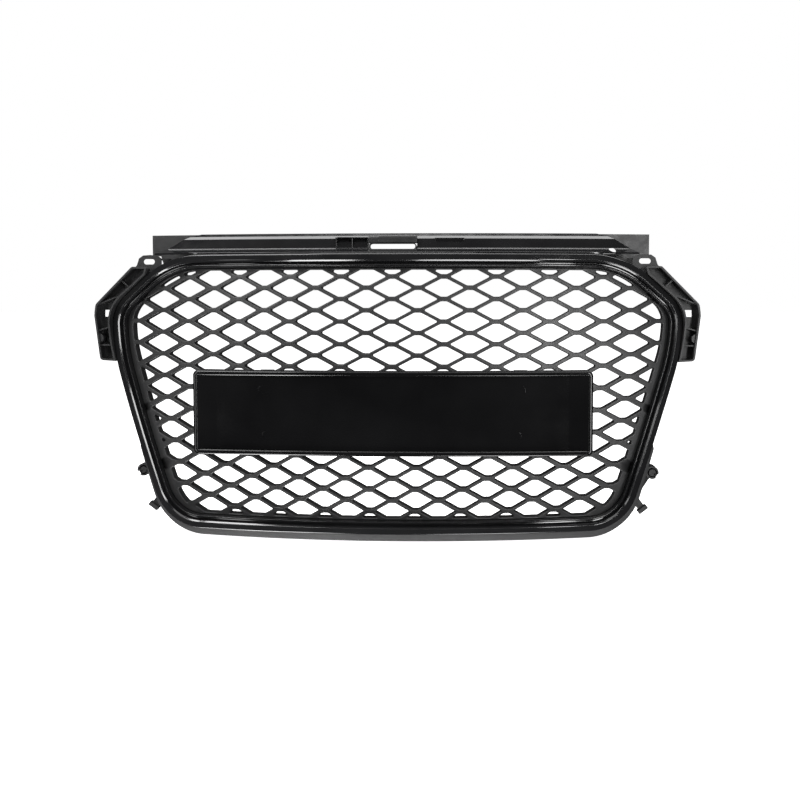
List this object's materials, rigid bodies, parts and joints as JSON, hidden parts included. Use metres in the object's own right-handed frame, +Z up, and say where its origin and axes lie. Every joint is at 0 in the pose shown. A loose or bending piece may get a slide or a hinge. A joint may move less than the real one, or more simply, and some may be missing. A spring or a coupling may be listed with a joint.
{
  "type": "front grille",
  "caption": "Bowed honeycomb front grille for a passenger car, with a gloss surround, a plate panel and a matt rear carrier with fixing wings.",
  "frame": {"origin": "middle of the number-plate panel's front face", "axes": "+X to the right as seen from in front of the car, +Z up, -Y out of the front of the grille"},
  "size_m": [0.8188, 0.1418, 0.4122],
  "materials": {
    "gloss_black": "gloss",
    "gloss_panel": "gloss",
    "satin_black": "satin",
    "matt_carrier": "matt, fine grain",
    "matt_bracket": "matt, moulded",
    "steel_screws": "zinc plated"
  },
  "bodies": {
    "root": {"surround_frame": "gloss_black", "inner_bezel": "gloss_black", "honeycomb_insert": "satin_black", "plate_panel": "gloss_panel", "plate_clamp_left": "matt_bracket", "plate_clamp_right": "matt_bracket", "plate_screws": "steel_screws", "carrier_frame": "matt_carrier", "upper_carrier": "matt_carrier", "upper_panel": "gloss_black", "catch_bezel": "satin_black", "wing_left": "matt_bracket", "wing_right": "matt_bracket", "side_bracket_left": "matt_bracket", "side_bracket_right": "matt_bracket", "retainer_left": "matt_bracket", "retainer_right": "matt_bracket", "insert_screws": "steel_screws", "wing_screws": "steel_screws", "bracket_screws": "steel_screws", "upper_screws": "steel_screws"}
  },
  "joints": []
}
